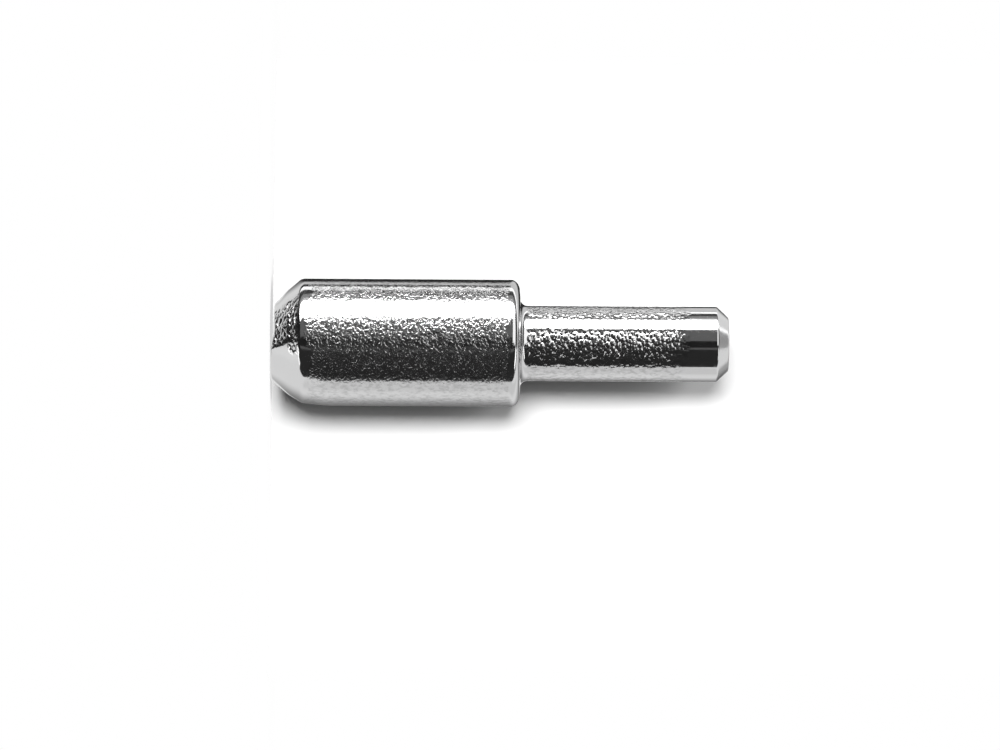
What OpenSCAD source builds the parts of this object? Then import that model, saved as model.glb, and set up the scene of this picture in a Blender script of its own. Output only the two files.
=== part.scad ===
// Shelf support pin for flat-pack cabinets. One solid piece of steel rod, turned to two
// diameters and zinc plated. The thin shank is pushed into a hole in the cabinet side until
// the shoulder meets the panel, and the shelf rests on the thick barrel. The coned nose
// leads the barrel under the shelf or into its groove.
//
// The pin stands on the flat end of its nose: the axis is Z and the shank points up.

/* [Overall] */
// Length of the whole pin, from the end of the nose to the tip of the shank
pin_l = 18; // [13:0.1:30]

/* [Barrel] */
// Diameter of the barrel
barrel_d = 5; // [4.5:0.1:8]
// Length of the barrel with its nose, up to the shoulder
barrel_l = 9.8; // [4:0.1:12]
// Radius of the outer edge of the shoulder
shoulder_edge_r = 0.35; // [0.05:0.05:0.5]

/* [Nose] */
// Length of the cone that leads the barrel in
nose_l = 1.2; // [0.6:0.05:2]
// Diameter of the flat end of the nose
nose_end_d = 3; // [2:0.1:3.8]
// Radius where the cone runs into the barrel
nose_barrel_r = 0.4; // [0.1:0.05:0.8]
// Radius of the edge round the flat end of the nose
nose_end_r = 0.2; // [0.05:0.05:0.3]

/* [Shank] */
// Diameter of the shank
shank_d = 3; // [2.5:0.1:3.6]
// Radius in the corner between the shank and the shoulder
root_r = 0.28; // [0.05:0.01:0.3]

/* [Tip] */
// Length of the chamfer at the tip of the shank
tip_l = 0.46; // [0.2:0.02:0.8]
// Width of that chamfer across the radius
tip_w = 0.43; // [0.2:0.02:0.8]
// Radius where the chamfer meets the shank
tip_shank_r = 0.11; // [0.05:0.01:0.2]
// Radius of the edge round the flat end of the tip
tip_end_r = 0.12; // [0.05:0.01:0.2]

/* [Hidden] */
$fn = 128;

barrel_r = barrel_d / 2;
shank_r = shank_d / 2;

// Half the pin's section, up the outside from the nose to the tip: distance from the
// axis, height, and the radius that rounds the corner
corners = [
    [nose_end_d / 2, 0, nose_end_r],
    [barrel_r, nose_l, nose_barrel_r],
    [barrel_r, barrel_l, shoulder_edge_r],
    [shank_r, barrel_l, root_r],
    [shank_r, pin_l - tip_l, tip_shank_r],
    [shank_r - tip_w, pin_l, tip_end_r]
];
last = len(corners) - 1;

// An arc may use up to this share of the shorter side next to its corner
side_share = 0.45;

function place(i) = i < 0 ? [0, 0] : i > last ? [0, pin_l] : [corners[i].x, corners[i].y];
function side(i, j) = place(j) - place(i);
function unit(v) = v / norm(v);
function half_angle(i) = acos(unit(side(i, i - 1)) * unit(side(i, i + 1))) / 2;
function is_inner(i) = cross(side(i, i - 1), side(i, i + 1)) > 0;

// How far from the corner its arc starts, its radius, and the way from the corner to its
// centre
function room(i) = side_share * min(norm(side(i, i - 1)), norm(side(i, i + 1)));
function setback(i) = min(corners[i][2] / tan(half_angle(i)), room(i));
function arc_r(i) = setback(i) * tan(half_angle(i));
function inward(i) = unit(unit(side(i, i - 1)) + unit(side(i, i + 1)));
function arc_centre(i) = place(i) + inward(i) * arc_r(i) / sin(half_angle(i));

// The outline with each corner cut straight across, from one end of its arc to the other
module cut_outline() {
    polygon([
        [0, 0],
        for (i = [0:last]) each [
            place(i) + unit(side(i, i - 1)) * setback(i),
            place(i) + unit(side(i, i + 1)) * setback(i)
        ],
        [0, pin_l]
    ]);
}

module corner_circle(i) {
    translate(arc_centre(i)) circle(arc_r(i));
}

// A circle fills each outer corner out to its arc, and hollows each inner corner back to it
module half_section() {
    difference() {
        union() {
            cut_outline();
            for (i = [0:last]) if (!is_inner(i)) corner_circle(i);
        }
        for (i = [0:last]) if (is_inner(i)) corner_circle(i);
    }
}

module support_pin() {
    color([0.78, 0.78, 0.79]) rotate_extrude() half_section();
}

support_pin();
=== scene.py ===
import math

import bpy
from mathutils import Matrix, Quaternion, Vector


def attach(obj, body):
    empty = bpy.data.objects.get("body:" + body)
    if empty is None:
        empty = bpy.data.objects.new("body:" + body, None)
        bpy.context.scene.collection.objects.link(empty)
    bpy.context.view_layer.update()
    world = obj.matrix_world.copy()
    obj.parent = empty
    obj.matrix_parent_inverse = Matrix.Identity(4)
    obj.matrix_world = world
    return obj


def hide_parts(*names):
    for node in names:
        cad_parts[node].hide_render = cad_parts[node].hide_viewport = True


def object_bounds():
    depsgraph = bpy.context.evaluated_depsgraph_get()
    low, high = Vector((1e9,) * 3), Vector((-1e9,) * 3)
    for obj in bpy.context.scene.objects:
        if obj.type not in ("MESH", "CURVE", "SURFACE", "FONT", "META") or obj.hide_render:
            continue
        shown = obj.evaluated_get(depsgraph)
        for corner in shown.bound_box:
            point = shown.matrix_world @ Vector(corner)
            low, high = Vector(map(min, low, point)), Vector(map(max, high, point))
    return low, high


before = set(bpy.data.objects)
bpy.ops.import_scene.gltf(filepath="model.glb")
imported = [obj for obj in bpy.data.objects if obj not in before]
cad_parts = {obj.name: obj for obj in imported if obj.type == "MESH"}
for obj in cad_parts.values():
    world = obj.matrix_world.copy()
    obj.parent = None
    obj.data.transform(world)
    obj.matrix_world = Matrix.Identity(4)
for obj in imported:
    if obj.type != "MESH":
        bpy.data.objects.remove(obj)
cad_low, cad_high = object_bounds()


# ---- The view -------------------------------------------------------------------------
# The pin stands on its nose, but is seen as if it lay on a table with its nose to the
# left. The camera hangs over the table on its side and leans towards the table's near
# edge. The foot side is the side near that edge, and the head side is the far one.
LEAN = math.radians(16)
ROLL = math.radians(0.36)
DISTANCE = 0.25
CAMERA_ALONG_PIN = 0.006
AIM_ALONG_PIN = 0.00902
AIM_TO_FOOT = 0.00125
towards_camera = Vector((math.sin(LEAN), -math.cos(LEAN), 0))
towards_head = Vector((-math.cos(LEAN), -math.sin(LEAN), 0))
along_pin = Vector((0, 0, 1))

camera_at = along_pin * CAMERA_ALONG_PIN + towards_camera * DISTANCE
looks_at = along_pin * AIM_ALONG_PIN - towards_head * AIM_TO_FOOT
back = (camera_at - looks_at).normalized()
rightwards = towards_head.cross(back).normalized()
turn = Quaternion(back, ROLL)
axes = [turn @ v for v in (rightwards, back.cross(rightwards), back)]

camera = bpy.data.objects.new("camera", bpy.data.cameras.new("camera"))
camera.data.sensor_width = 36
camera.data.lens = 228.6
camera.data.clip_start = 0.001
camera.data.clip_end = 5
camera.matrix_world = Matrix.Translation(camera_at) @ Matrix(axes).transposed().to_4x4()
bpy.context.collection.objects.link(camera)
bpy.context.scene.camera = camera
bpy.context.scene.view_settings.view_transform = "Standard"


# ---- The pin --------------------------------------------------------------------------
# One piece of steel rod, turned on a lathe to two diameters and plated with bright zinc.
# The zinc has a fine grain like orange peel on the barrel and most of the shank, while
# most of the nose, the shoulder and the tip are smooth.
PIN_L = cad_high.z - cad_low.z
BARREL_R = cad_high.x
BARREL_L = 0.0098
NOSE_L = 0.0012
NOSE_END_R = 0.0015
SHANK_R = 0.00148
TIP_L = 0.00046
TIP_W = 0.00043

# Half the section from the axis at the nose to the axis at the tip: distance from the
# axis, height, and the radius that rounds the corner
outline = [
    (0, 0, 0),
    (NOSE_END_R, 0, 0.0002),
    (BARREL_R, NOSE_L, 0.0004),
    (BARREL_R, BARREL_L, 0.00035),
    (SHANK_R, BARREL_L, 0.00028),
    (SHANK_R, PIN_L - TIP_L, 0.00011),
    (SHANK_R - TIP_W, PIN_L, 0.00012),
    (0, PIN_L, 0),
]


def add(tree, kind, inputs=(), **settings):
    """Adds a node: settings are its options, inputs its sockets by name or number."""
    node = tree.nodes.new(kind)
    for name, value in settings.items():
        setattr(node, name, value)
    for socket, value in dict(inputs).items():
        if isinstance(value, bpy.types.NodeSocket):
            tree.links.new(value, node.inputs[socket])
        else:
            node.inputs[socket].default_value = value
    return node


def maths(tree, operation, *values):
    """Adds a math node and returns its result."""
    node = add(tree, "ShaderNodeMath", enumerate(values), operation=operation)
    return node.outputs[0]


def between(tree, value, start, end, low=0.0, high=1.0):
    """Goes smoothly from low to high as value goes from start to end."""
    node = add(tree, "ShaderNodeMapRange",
               {"Value": value, "From Min": start, "From Max": end,
                "To Min": low, "To Max": high}, interpolation_type="SMOOTHSTEP")
    return node.outputs["Result"]


def distance(tree, one, other):
    node = add(tree, "ShaderNodeVectorMath", {0: one, 1: other}, operation="DISTANCE")
    return node.outputs["Value"]


def half_section():
    """The outline as a chain of edges in the XZ plane, with each corner's radius."""
    mesh = bpy.data.meshes.new("half_section")
    mesh.from_pydata([(r, 0, z) for r, z, _ in outline],
                     [(i, i + 1) for i in range(len(outline) - 1)], [])
    radii = mesh.attributes.new("corner_r", "FLOAT", "POINT")
    radii.data.foreach_set("value", [corner for _, _, corner in outline])
    return bpy.data.objects.new("half_section", mesh)


def new_tree(name, sockets):
    """An empty Geometry Nodes tree with these named inputs after the geometry."""
    tree = bpy.data.node_groups.new(name, "GeometryNodeTree")
    tree.is_modifier = True
    tree.interface.new_socket("Geometry", in_out="INPUT", socket_type="NodeSocketGeometry")
    tree.interface.new_socket("Geometry", in_out="OUTPUT", socket_type="NodeSocketGeometry")
    for socket, kind in sockets.items():
        tree.interface.new_socket(socket, in_out="INPUT", socket_type="NodeSocket" + kind)
    return tree, add(tree, "NodeGroupInput").outputs


def rounded_outline(tree, given):
    """The outline as a curve with round corners, with no gap wider than the row spacing."""
    curve = add(tree, "GeometryNodeMeshToCurve", {"Mesh": given["Geometry"]}).outputs[0]
    corner = add(tree, "GeometryNodeInputNamedAttribute", {"Name": "corner_r"},
                 data_type="FLOAT").outputs["Attribute"]
    rounded = add(tree, "GeometryNodeFilletCurve",
                  {"Curve": curve, "Count": given["Arc points"], "Radius": corner},
                  mode="POLY").outputs[0]
    here = add(tree, "GeometryNodeInputPosition").outputs[0]
    index = add(tree, "GeometryNodeInputIndex").outputs[0]
    following = add(tree, "GeometryNodeFieldAtIndex",
                    {"Value": here, "Index": maths(tree, "ADD", index, 1)},
                    data_type="FLOAT_VECTOR", domain="POINT").outputs[0]
    gap = distance(tree, here, following)
    cuts = maths(tree, "FLOOR", maths(tree, "DIVIDE", gap, given["Row spacing"]))
    return add(tree, "GeometryNodeSubdivideCurve",
               {"Curve": rounded, "Cuts": cuts}).outputs[0]


def turned(tree, given, section):
    """A grid with one row for each point of the section, rolled up round the Z axis and
    closed where its sides and its poles meet."""
    here = add(tree, "GeometryNodeInputPosition").outputs[0]
    index = add(tree, "GeometryNodeInputIndex").outputs[0]
    rows = add(tree, "GeometryNodeAttributeDomainSize", {"Geometry": section},
               component="CURVE").outputs["Point Count"]
    across = maths(tree, "ADD", given["Columns"], 1)
    grid = add(tree, "GeometryNodeMeshGrid",
               {"Vertices X": rows, "Vertices Y": across}).outputs["Mesh"]
    row = maths(tree, "FLOOR", maths(tree, "DIVIDE", maths(tree, "ADD", index, 0.5), across))
    column = maths(tree, "SUBTRACT", index, maths(tree, "MULTIPLY", row, across))
    angle = maths(tree, "MULTIPLY", maths(tree, "DIVIDE", column, given["Columns"]),
                  -2 * math.pi)
    on_section = add(tree, "GeometryNodeSampleIndex",
                     {"Geometry": section, "Value": here, "Index": row},
                     data_type="FLOAT_VECTOR", domain="POINT").outputs[0]
    rolled = add(tree, "ShaderNodeVectorRotate", {"Vector": on_section, "Angle": angle},
                 rotation_type="Z_AXIS").outputs[0]
    body = add(tree, "GeometryNodeSetPosition",
               {"Geometry": grid, "Position": rolled}).outputs[0]
    return add(tree, "GeometryNodeMergeByDistance",
               {"Geometry": body, "Distance": given["Seam gap"]}).outputs[0]


# The grain's borders waver and are soft, its middle is turned to the foot side, and it is
# stronger on the shank
EDGE_WAVER = 0.0012
SOFT_EDGE = 0.0002
GRAIN_TURN = math.radians(7)
SHANK_GRAIN = 1.3


def grain(tree, given, z, around_pin, drift):
    """How strong the grain is. It covers the barrel and the shank apart from their ends,
    up to a wavering border, and it is strongest along the near and the far side."""
    wavering = maths(tree, "ADD", z, maths(
        tree, "MULTIPLY", maths(tree, "SUBTRACT", drift, 0.5), EDGE_WAVER))
    on_barrel = maths(
        tree, "MULTIPLY",
        between(tree, wavering, given["Barrel start"],
                maths(tree, "ADD", given["Barrel start"], SOFT_EDGE)),
        between(tree, wavering, maths(tree, "SUBTRACT", given["Barrel end"], SOFT_EDGE),
                given["Barrel end"], 1.0, 0.0))
    on_shank = maths(
        tree, "MULTIPLY",
        between(tree, z, given["Shank start"],
                maths(tree, "ADD", given["Shank start"], SOFT_EDGE)),
        between(tree, wavering, given["Shank fade"], given["Shank end"], 1.0, 0.0))

    # Across the pin, -1 is the outline on the head side, 0 the middle, and 1 the outline
    # on the foot side. A strip near the head side's outline is grained again.
    to_foot = maths(tree, "SINE", maths(tree, "SUBTRACT", around_pin, GRAIN_TURN))
    middle = between(tree, maths(tree, "ABSOLUTE", to_foot), 0.46, 0.70, 1.0, 0.2)
    strip = between(tree, to_foot, -0.50, -0.62, 0.1, 0.7)
    barrel_middle = maths(tree, "MINIMUM", middle,
                          between(tree, to_foot, -0.28, -0.10, 0.55, 1.0))
    barrel_strip = maths(tree, "MULTIPLY", strip,
                         between(tree, to_foot, -0.72, -0.82, 1.0, 0.0))
    round_barrel = maths(tree, "MAXIMUM", barrel_middle, barrel_strip)
    shank_middle = maths(tree, "MINIMUM", middle, between(tree, to_foot, -0.24, -0.14))
    round_shank = maths(tree, "MULTIPLY", maths(tree, "MAXIMUM", strip, shank_middle),
                        SHANK_GRAIN)
    return maths(tree, "ADD", maths(tree, "MULTIPLY", on_barrel, round_barrel),
                 maths(tree, "MULTIPLY", on_shank, round_shank))


# How far the scuff's middle is turned to the head side, where it starts to fade on either
# side of that, where it has faded, and how ragged its border is
SCUFF_TURN = math.radians(5)
SCUFF_HALF = math.radians(22)
SCUFF_FADED = math.radians(30)
SCUFF_RAGGED = 0.8


def scuff(tree, z, around_pin, drift):
    """The nose's cone is scuffed on one side only, in a patch with a ragged border."""
    ragged = maths(tree, "MULTIPLY", maths(tree, "SUBTRACT", drift, 0.5), SCUFF_RAGGED)
    from_middle = maths(tree, "ABSOLUTE", maths(tree, "ADD", around_pin, SCUFF_TURN))
    return maths(tree, "MULTIPLY",
                 between(tree, maths(tree, "ADD", from_middle, ragged),
                         SCUFF_HALF, SCUFF_FADED, 1.0, 0.0),
                 between(tree, z, NOSE_L - 0.0003, NOSE_L, 1.0, 0.0))


def dent(tree, given, here):
    """One small dent in the shape of a ring, with its middle left raised."""
    off_ring = maths(tree, "ABSOLUTE", maths(
        tree, "SUBTRACT", distance(tree, here, given["Dent"]), given["Dent radius"]))
    ring = between(tree, off_ring, 0.0, given["Dent width"], 1.0, 0.0)
    return maths(tree, "MULTIPLY", ring, given["Dent depth"])


def worn_edge(tree, given, z, around_pin):
    """The edge between nose and barrel is worn rounder on the foot side."""
    at_edge = maths(tree, "MULTIPLY", between(tree, z, NOSE_L - 0.0006, NOSE_L),
                    between(tree, z, NOSE_L, NOSE_L + 0.0011, 1.0, 0.0))
    on_foot_side = between(tree, around_pin, math.radians(15), math.radians(70))
    return maths(tree, "MULTIPLY", maths(tree, "MULTIPLY", at_edge, on_foot_side),
                 given["Worn edge"])


def rise_at_ends(tree, given, here, z):
    """Parting off left the head side of the nose's end a little short, and the outer part
    of the shoulder is slightly dished."""
    to_head = add(tree, "ShaderNodeVectorMath", {0: here, 1: towards_head},
                  operation="DOT_PRODUCT").outputs["Value"]
    step = maths(tree, "MULTIPLY", between(tree, to_head, -0.0003, 0.0004),
                 between(tree, z, 0.0, 0.0007, 1.0, 0.0))
    off_axis = add(tree, "ShaderNodeVectorMath", {0: here, 1: (1, 1, 0)},
                   operation="MULTIPLY").outputs[0]
    radius = add(tree, "ShaderNodeVectorMath", {0: off_axis},
                 operation="LENGTH").outputs["Value"]
    dished = maths(tree, "MULTIPLY", between(tree, radius, 0.0018, BARREL_R),
                   between(tree, z, BARREL_L - 0.0006, BARREL_L))
    return maths(tree, "SUBTRACT", maths(tree, "MULTIPLY", step, given["Step height"]),
                 maths(tree, "MULTIPLY", dished, given["Dished edge"]))


# A slow drift makes borders ragged, and quicker waves are the coarser part of the grain
DRIFT_SCALE = 1300.0
WAVE_SCALE = 4500.0
DEEPER_IN_SCUFF = 0.6


def lathe_tree():
    """Rounds an outline's corners, turns it round the Z axis, and grains and wears it."""
    tree, given = new_tree("turned_rod", {
        "Arc points": "Int", "Row spacing": "Float", "Columns": "Int", "Seam gap": "Float",
        "Peel depth": "Float", "Barrel start": "Float", "Barrel end": "Float",
        "Shank start": "Float", "Shank fade": "Float", "Shank end": "Float",
        "Step height": "Float", "Worn edge": "Float", "Dished edge": "Float",
        "Dent": "Vector", "Dent radius": "Float", "Dent width": "Float",
        "Dent depth": "Float", "Finish": "Material"})
    body = turned(tree, given, rounded_outline(tree, given))

    here = add(tree, "GeometryNodeInputPosition").outputs[0]
    place = add(tree, "ShaderNodeSeparateXYZ", {0: here}).outputs
    z = place["Z"]
    around_pin = maths(tree, "ARCTAN2", place["X"], maths(tree, "MULTIPLY", place["Y"], -1))
    drift = add(tree, "ShaderNodeTexNoise",
                {"Vector": here, "Scale": DRIFT_SCALE, "Detail": 2.0},
                noise_dimensions="3D").outputs[0]
    waves = add(tree, "ShaderNodeTexNoise",
                {"Vector": here, "Scale": WAVE_SCALE, "Detail": 0.0},
                noise_dimensions="3D").outputs[0]

    scuffed = scuff(tree, z, around_pin, drift)
    peel = maths(tree, "MAXIMUM", grain(tree, given, z, around_pin, drift), scuffed)
    deeper = maths(tree, "ADD", maths(tree, "MULTIPLY", scuffed, DEEPER_IN_SCUFF), 1)
    depth = maths(tree, "MULTIPLY", maths(tree, "MULTIPLY", waves, peel),
                  maths(tree, "MULTIPLY", given["Peel depth"], deeper))
    depth = maths(tree, "ADD", depth, dent(tree, given, here))
    depth = maths(tree, "ADD", depth, worn_edge(tree, given, z, around_pin))
    inward = add(tree, "ShaderNodeVectorMath",
                 {0: add(tree, "GeometryNodeInputNormal").outputs[0],
                  "Scale": maths(tree, "MULTIPLY", depth, -1)}, operation="SCALE").outputs[0]
    lift = add(tree, "ShaderNodeCombineXYZ",
               {"Z": rise_at_ends(tree, given, here, z)}).outputs[0]
    moved = add(tree, "ShaderNodeVectorMath", {0: inward, 1: lift},
                operation="ADD").outputs[0]

    body = add(tree, "GeometryNodeStoreNamedAttribute",
               {"Geometry": body, "Name": "peel", "Value": peel},
               data_type="FLOAT", domain="POINT").outputs[0]
    body = add(tree, "GeometryNodeSetPosition", {"Geometry": body, "Offset": moved}).outputs[0]
    body = add(tree, "GeometryNodeSetShadeSmooth", {"Geometry": body}).outputs[0]
    body = add(tree, "GeometryNodeRealizeInstances", {"Geometry": body}).outputs[0]
    body = add(tree, "GeometryNodeSetMaterial",
               {"Geometry": body, "Material": given["Finish"]}).outputs[0]
    add(tree, "NodeGroupOutput", {0: body})
    return tree


# Scales are marks to the metre, and depths are metres. A dome falls with the square of the
# distance from its top, to DOME_FOOT. Grain makes the barrel DULLED_BARREL rougher.
ZINC = (0.62, 0.62, 0.622, 1)
DULL_ZINC = (0.50, 0.50, 0.50, 1)
PIT_SCALE = 7800.0
PIT_DEPTH = 9.5e-6
DOME_SCALE = 5600.0
DOME_DEPTH = 40e-6
DOME_FOOT = 0.2
PITS_AMONG_DOMES = 0.3
HAZE_SCALE = 6000.0
DULLED_BARREL = 0.08


def zinc_plate():
    """Bright zinc: a hazy grey mirror. It adds the finest part of the grain, where the mesh
    stores some: pits on the barrel, and rounder domes on the shank and the nose."""
    material = bpy.data.materials.new("zinc_plate")
    material.use_nodes = True
    tree = material.node_tree
    metal = tree.nodes["Principled BSDF"]
    metal.inputs["Metallic"].default_value = 1.0

    where = add(tree, "ShaderNodeTexCoord").outputs["Object"]
    height = add(tree, "ShaderNodeSeparateXYZ", {0: where}).outputs["Z"]
    peel = add(tree, "ShaderNodeAttribute", attribute_name="peel").outputs["Fac"]
    squeezed = add(tree, "ShaderNodeMapping",
                   {"Vector": where, "Scale": (1, 1, 1.3)}).outputs[0]
    speckle = add(tree, "ShaderNodeTexNoise",
                  {"Vector": squeezed, "Scale": PIT_SCALE, "Detail": 1.0}).outputs[0]
    pits = between(tree, speckle, 0.40, 0.60, 0.0, PIT_DEPTH)
    cells = add(tree, "ShaderNodeTexVoronoi",
                {"Vector": squeezed, "Scale": DOME_SCALE}).outputs["Distance"]
    domes = maths(tree, "MULTIPLY", maths(
        tree, "SUBTRACT", DOME_FOOT, maths(tree, "POWER", cells, 2.0)), DOME_DEPTH)
    domes = maths(tree, "ADD", maths(tree, "MULTIPLY", pits, PITS_AMONG_DOMES), domes)
    domed = maths(tree, "MAXIMUM", maths(tree, "GREATER_THAN", height, BARREL_L),
                  maths(tree, "LESS_THAN", height, NOSE_L))
    relief = add(tree, "ShaderNodeMix", {"Factor": domed, "A": pits, "B": domes}).outputs[0]
    relief = maths(tree, "MULTIPLY", relief, peel)
    bump = add(tree, "ShaderNodeBump", {"Height": relief, "Distance": 1.0, "Strength": 1.0})
    tree.links.new(bump.outputs[0], metal.inputs["Normal"])

    drawn = add(tree, "ShaderNodeMapping", {"Vector": where, "Scale": (1, 1, 0.7)}).outputs[0]
    haze = add(tree, "ShaderNodeTexNoise",
               {"Vector": drawn, "Scale": HAZE_SCALE, "Detail": 4.0}).outputs[0]
    on_barrel = maths(tree, "LESS_THAN", height, BARREL_L)
    rough = maths(tree, "ADD", between(tree, haze, 0.3, 0.7, 0.07, 0.13),
                  maths(tree, "MULTIPLY", maths(tree, "MULTIPLY", on_barrel, peel),
                        DULLED_BARREL))
    tree.links.new(rough, metal.inputs["Roughness"])
    dull = maths(tree, "MULTIPLY", between(tree, haze, 0.30, 0.60, 1.0, 0.0),
                 between(tree, peel, 0.0, 0.15))
    tint = add(tree, "ShaderNodeMix", {"Factor": dull, "A": ZINC, "B": DULL_ZINC},
               data_type="RGBA")
    tree.links.new(tint.outputs["Result"], metal.inputs["Base Color"])
    return material


def made_by(tree, source, name, values):
    """The plain mesh that the tree makes from source, as an object of its own."""
    bpy.context.collection.objects.link(source)
    modifier = source.modifiers.new("make", "NODES")
    modifier.node_group = tree
    for item in tree.interface.items_tree:
        if item.in_out == "INPUT" and item.name in values:
            modifier[item.identifier] = values[item.name]
    ready = source.evaluated_get(bpy.context.evaluated_depsgraph_get())
    mesh = bpy.data.meshes.new_from_object(ready)
    source.modifiers.clear()
    bpy.data.objects.remove(source)
    mesh.name = name
    made = bpy.data.objects.new(name, mesh)
    bpy.context.collection.objects.link(made)
    return made


DENT_TURN = math.radians(13.7)
DENT_HEIGHT = 0.00638
dent_middle = (BARREL_R * math.sin(DENT_TURN), -BARREL_R * math.cos(DENT_TURN), DENT_HEIGHT)
pin = made_by(lathe_tree(), half_section(), "turned_pin", {
    "Arc points": 8, "Row spacing": 0.000062, "Columns": 256, "Seam gap": 5e-7,
    "Peel depth": 16e-6, "Barrel start": 0.0014, "Barrel end": 0.0095,
    "Shank start": 0.0100, "Shank fade": 0.0154, "Shank end": 0.0168,
    "Step height": 0.00013, "Worn edge": 0.00009, "Dished edge": 0.00005,
    "Dent": dent_middle, "Dent radius": 0.00020, "Dent width": 0.00016,
    "Dent depth": 0.000022, "Finish": zinc_plate()})
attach(pin, "root")
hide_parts("support_pin")


# ---- The table and the floor ----------------------------------------------------------
# White paper, which is not part of the pin. The pin stands on the floor, and the table is
# a card that touches its barrel from behind and takes its shadow. The card is turned a
# little, so that from the foot side it doesn't show as a line.
SPREAD = 0.4
TABLE_HALF = 0.013
TABLE_TOP = 0.030
TABLE_TURN = math.radians(3)
PAPER_WHITE = 0.95


def seen(tree):
    """1 on a ray from the camera, straight or by way of metal or glass, and otherwise 0."""
    ray = add(tree, "ShaderNodeLightPath").outputs
    return maths(tree, "MAXIMUM", ray["Is Camera Ray"],
                 maths(tree, "MAXIMUM", ray["Is Glossy Ray"], ray["Is Transmission Ray"]))


def blank_material(name):
    material = bpy.data.materials.new(name)
    material.use_nodes = True
    material.node_tree.nodes.clear()
    return material, material.node_tree


def paper(name, painted_glow):
    """Matt paper that shows its front only, so that it hides nothing from behind. Part of
    its white is a glow of its own, painted light that keeps shadows light; the function
    passed in sets that part."""
    material, tree = blank_material(name)
    diffuse = add(tree, "ShaderNodeBsdfDiffuse",
                  {"Color": (PAPER_WHITE, PAPER_WHITE, PAPER_WHITE, 1)})
    white = add(tree, "ShaderNodeEmission", {"Color": (1, 1, 1, 1), "Strength": 1.0})
    place = add(tree, "ShaderNodeTexCoord").outputs["Object"]
    matt = add(tree, "ShaderNodeMixShader",
               {0: maths(tree, "MULTIPLY", seen(tree), painted_glow(tree, place)),
                1: diffuse.outputs[0], 2: white.outputs[0]})
    clear = add(tree, "ShaderNodeBsdfTransparent")
    rear = add(tree, "ShaderNodeNewGeometry").outputs["Backfacing"]
    either = add(tree, "ShaderNodeMixShader",
                 {0: rear, 1: matt.outputs[0], 2: clear.outputs[0]})
    add(tree, "ShaderNodeOutputMaterial", {"Surface": either.outputs[0]})
    return material


def whiter_at_edges(tree, place):
    """The table's own glow, painted light, whitens it into the white ground at its sides
    and its top, and lightens the pin's shadow on it by the floor.
    """
    place = add(tree, "ShaderNodeSeparateXYZ", {0: place}).outputs
    sides = between(tree, maths(tree, "ABSOLUTE", place["X"]), 0.007, TABLE_HALF, 0.0, 1.0)
    by_floor = between(tree, place["Z"], 0.0, 0.0006, 0.5, 0.0)
    by_top = between(tree, place["Z"], PIN_L + 0.002, TABLE_TOP, 0.0, 1.0)
    return maths(tree, "MAXIMUM", sides, maths(tree, "MAXIMUM", by_floor, by_top))


def whiter_far_out(tree, place):
    """The floor takes a shadow near the pin, which its own glow, painted light, keeps
    light, and the glow makes it plain white further out.
    """
    from_pin = add(tree, "ShaderNodeVectorMath", {0: place},
                   operation="LENGTH").outputs["Value"]
    return between(tree, from_pin, 0.004, 0.022, 0.62, 1.0)


def stage_mesh(name, corners, faces, material):
    """A thin object that is not part of the pin."""
    mesh = bpy.data.meshes.new(name)
    mesh.from_pydata(corners, [], faces)
    mesh.materials.append(material)
    made = bpy.data.objects.new(name, mesh)
    bpy.context.collection.objects.link(made)
    return made


def plane(name, corners, material):
    return stage_mesh(name, corners, [(0, 1, 2, 3)], material)


to_side = Vector((math.cos(TABLE_TURN), -math.sin(TABLE_TURN), 0)) * TABLE_HALF
touching = Vector((math.sin(TABLE_TURN), math.cos(TABLE_TURN), 0)) * BARREL_R
to_top = along_pin * TABLE_TOP
table = plane("table", [touching - to_side, touching + to_side,
                        touching + to_side + to_top, touching - to_side + to_top],
              paper("white_table", whiter_at_edges))
floor = plane("floor", [(-SPREAD, -SPREAD, 0), (SPREAD, -SPREAD, 0),
                        (SPREAD, SPREAD, 0), (-SPREAD, SPREAD, 0)],
              paper("white_floor", whiter_far_out))

# The metal mirrors the tent's paper instead of these, and they throw no light on it
for made in (table, floor):
    made.visible_glossy = False
    made.visible_diffuse = False
    made.visible_shadow = False


# ---- The light ------------------------------------------------------------------------
# A soft lamp above the table casts the short shadow beside the barrel, a weaker one past
# the tip fills the shank's shadow, and a third lights the floor. The metal mirrors none
# of them. The room adds a little plain light and the white ground.
AMBIENT = 0.13


def lamp(name, place, aim, size, length, power, lit):
    """A soft oval lamp, size by length, that lights only the objects in lit."""
    data = bpy.data.lights.new(name, "AREA")
    data.shape = "ELLIPSE"
    data.size = size
    data.size_y = length
    data.energy = power
    made = bpy.data.objects.new(name, data)
    made.location = place
    made.rotation_mode = "QUATERNION"
    made.rotation_quaternion = (aim - place).to_track_quat("-Z", "Y")
    made.visible_glossy = False
    bpy.context.collection.objects.link(made)
    only = bpy.data.collections.new(name + "_lights")
    for o in lit:
        only.objects.link(o)
    made.light_linking.receiver_collection = only


middle = along_pin * (PIN_L / 2)
nose_end = Vector((0, 0, 0))
lamp("table_lamp", middle + Vector((-0.027, -0.30, 0)), middle,
     size=0.125, length=0.20, power=0.90, lit=[table, pin])
lamp("tip_lamp", middle + Vector((-0.02, -0.12, 0.20)), middle,
     size=0.16, length=0.16, power=0.34, lit=[table, pin])
lamp("floor_lamp", towards_camera * 0.14 + along_pin * 0.26, nose_end,
     size=0.12, length=0.12, power=0.93, lit=[floor])

world = bpy.data.worlds.new("room")
bpy.context.scene.world = world
world.use_nodes = True
tree = world.node_tree
tree.nodes.clear()
strength = maths(tree, "ADD", AMBIENT, maths(tree, "MULTIPLY", seen(tree), 1 - AMBIENT))
room = add(tree, "ShaderNodeBackground", {"Color": (1, 1, 1, 1), "Strength": strength})
add(tree, "ShaderNodeOutputWorld", {"Surface": room.outputs[0]})


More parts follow.
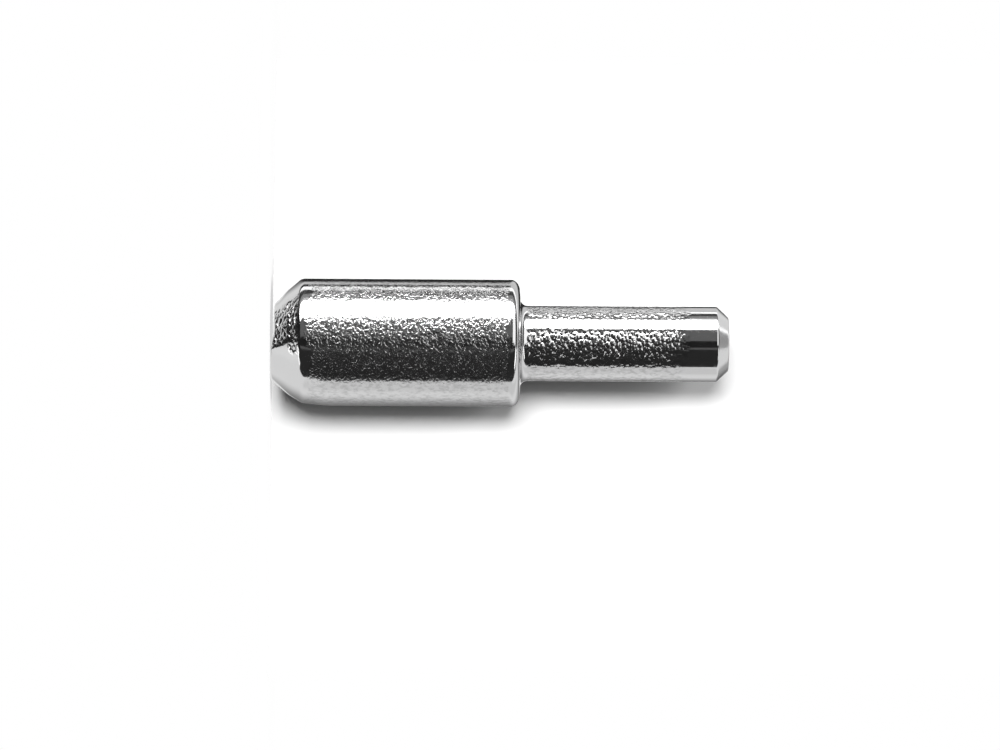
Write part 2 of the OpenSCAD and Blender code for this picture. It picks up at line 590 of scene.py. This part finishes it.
# ---- The tent -------------------------------------------------------------------------
# What the metal mirrors: strips of cloth hung round the pin with a long window between
# them, a wall with lit cards at either end, and the paper behind. Only the metal sees it,
# and it lights nothing.
TENT_R = 0.15
TENT_LOW = -0.15
TENT_HIGH = 0.17
IN_FRONT = 0.001
FACE_ANGLE = 3


def glow(name, strength, pattern=None):
    """Cloth or card of one brightness, which the metal mirrors and which lights nothing
    else. A pattern is a function that makes the brightness change over the surface."""
    material, tree = blank_material(name)
    thrown = add(tree, "ShaderNodeLightPath").outputs["Diffuse Depth"]
    kept = maths(tree, "MULTIPLY", maths(tree, "LESS_THAN", thrown, 0.5), strength)
    if pattern:
        kept = maths(tree, "MULTIPLY", kept, pattern(tree))
    light = add(tree, "ShaderNodeEmission", {"Color": (1, 1, 1, 1), "Strength": kept})
    add(tree, "ShaderNodeOutputMaterial", {"Surface": light.outputs[0]})
    return material


def only_in_metal(made):
    made.visible_camera = False
    made.visible_diffuse = False
    made.visible_transmission = False
    made.visible_volume_scatter = False
    made.visible_shadow = False


def cloth(name, start, end, strength, radius=TENT_R, low=TENT_LOW):
    """A strip of the tent from one angle to the other. Angles are in degrees, from the
    side that faces away from the table, and positive to the foot side."""
    steps = max(2, math.ceil(abs(end - start) / FACE_ANGLE))
    corners = []
    for i in range(steps + 1):
        a = math.radians(start + (end - start) * i / steps)
        x, y = radius * math.sin(a), -radius * math.cos(a)
        corners += [(x, y, low), (x, y, TENT_HIGH)]
    faces = [(2 * i, 2 * i + 1, 2 * i + 3, 2 * i + 2) for i in range(steps)]
    only_in_metal(stage_mesh(name, corners, faces, glow(name, strength)))


# The strips, with the angles where each starts and ends, and its brightness
for name, start, end, strength in [
        ("foot_wall", 90, 32, 0.03),
        ("foot_line", 32, 26, 0.13),
        ("foot_ceiling", 26, 6, 0.02),
        ("head_ceiling", 6, -31, 0.16),
        ("window", -31, -64, 7.0),
        ("window_edge", -64, -71, 0.70),
        ("head_curtain", -71, -81, 0.33),
        ("head_wall", -81, -90, 0.07),
        ("table_edge", -90, -104, 0.06)]:
    cloth(name, start, end, strength)


def ending(name, z, left, right, low, high, strength):
    """Part of the wall at one end of the tent, low and high being heights over the table."""
    corners = [(left, BARREL_R - low, z), (right, BARREL_R - low, z),
               (right, BARREL_R - high, z), (left, BARREL_R - high, z)]
    only_in_metal(plane(name, corners, glow(name, strength)))


# The dark end walls with their light cards, and the second window over the tip, which the
# nose's cone, the shoulder's edge and the tip's chamfer mirror: where each stands, its
# sides and its brightness
LOW_CARDS = TENT_LOW + IN_FRONT
HIGH_CARDS = TENT_HIGH - IN_FRONT
ending("low_end", TENT_LOW, -TENT_R, TENT_R, 0, 2 * TENT_R, 0.02)
ending("low_light", LOW_CARDS, 0.012, TENT_R, 0, 0.027, 1.05)
ending("low_glare", LOW_CARDS, 0.030, TENT_R, 0.027, 0.045, 2.5)
ending("high_end", TENT_HIGH, -TENT_R, TENT_R, 0, 2 * TENT_R, 0.02)
ending("high_foot", HIGH_CARDS, -TENT_R, 0.030, 0, 0.014, 0.45)
cloth("high_window", -42, 18, 1.5, radius=TENT_R - IN_FRONT, low=0.070)
ending("high_light", HIGH_CARDS, -0.090, 0.040, 0.080, 0.15, 1.5)
ending("high_glare", HIGH_CARDS, 0.030, TENT_R, 0.027, 0.060, 2.5)


def painted_pin_shade(tree):
    """The mirrored paper's brightness, with the pin's shade painted on it: a dark strip on
    either side, which is narrower beside the shank, and a dark patch past the tip."""
    place = add(tree, "ShaderNodeSeparateXYZ",
                {0: add(tree, "ShaderNodeTexCoord").outputs["Object"]}).outputs
    x, z = place["X"], place["Z"]

    # Side is x beside the barrel, and more than x beside the thinner shank
    thinner = between(tree, z, BARREL_L - 0.0006, BARREL_L + 0.0008, 1.0, 1.6)
    side = maths(tree, "MULTIPLY", x, thinner)
    foot_side = maths(tree, "MULTIPLY", between(tree, side, 0.0020, 0.0065, 0.20, 1.0),
                      between(tree, side, 0.0075, 0.0120, 1.0, 0.85))
    head_side = between(tree, side, -0.0066, -0.0086, 0.03, 0.80)
    either_side = add(tree, "ShaderNodeMix",
                      {"Factor": maths(tree, "GREATER_THAN", side, 0),
                       "A": head_side, "B": foot_side}).outputs[0]
    # Right under the pin itself the paper is painted light again
    under_pin = maths(tree, "MULTIPLY", between(tree, side, -0.0040, -0.0036),
                      between(tree, side, 0.0018, 0.0022, 1.0, 0.0))
    either_side = maths(tree, "MAXIMUM", either_side, maths(tree, "MULTIPLY", under_pin, 0.9))
    along = maths(tree, "MULTIPLY", between(tree, z, -0.003, 0.001),
                  between(tree, z, PIN_L, PIN_L + 0.003, 1.0, 0.0))
    beside = add(tree, "ShaderNodeMix",
                 {"Factor": along, "A": 1.0, "B": either_side}).outputs[0]
    past_tip = maths(tree, "MULTIPLY", between(tree, z, PIN_L - 0.0005, PIN_L + 0.0005),
                     between(tree, z, PIN_L + 0.005, PIN_L + 0.009, 1.0, 0.0))
    past_tip = maths(tree, "MULTIPLY", past_tip, between(
        tree, maths(tree, "ABSOLUTE", x), 0.0025, 0.0040, 1.0, 0.0))
    return maths(tree, "MULTIPLY", beside, between(tree, past_tip, 0.0, 1.0, 1.0, 0.5))


def on_table(name, left, right, bottom, top, above, strength, pattern=None):
    """A flat glowing sheet at the table that only the metal mirrors, which paints what the
    metal reflects there.
    """
    y = BARREL_R - above
    only_in_metal(plane(name, [(left, y, bottom), (right, y, bottom),
                               (right, y, top), (left, y, top)],
                        glow(name, strength, pattern)))


# The paper as the metal mirrors it, with a lighter strip, a dark line and a dark card
# painted on it as bands in its reflection: the sides of each, how far it lies over the
# table, and its brightness
LEAF = 0.00001
on_table("mirrored_paper", -0.055, TENT_R, TENT_LOW, TENT_HIGH, -LEAF, 1.0, painted_pin_shade)
on_table("bright_paper", -0.055, -0.0185, -0.01, TENT_HIGH, LEAF, 1.9)
on_table("dark_line", -0.0172, -0.0112, -0.01, BARREL_L, LEAF, 0.02)
on_table("dark_card", -0.060, 0.004, TENT_LOW, -0.012, 2 * LEAF, 0.05)
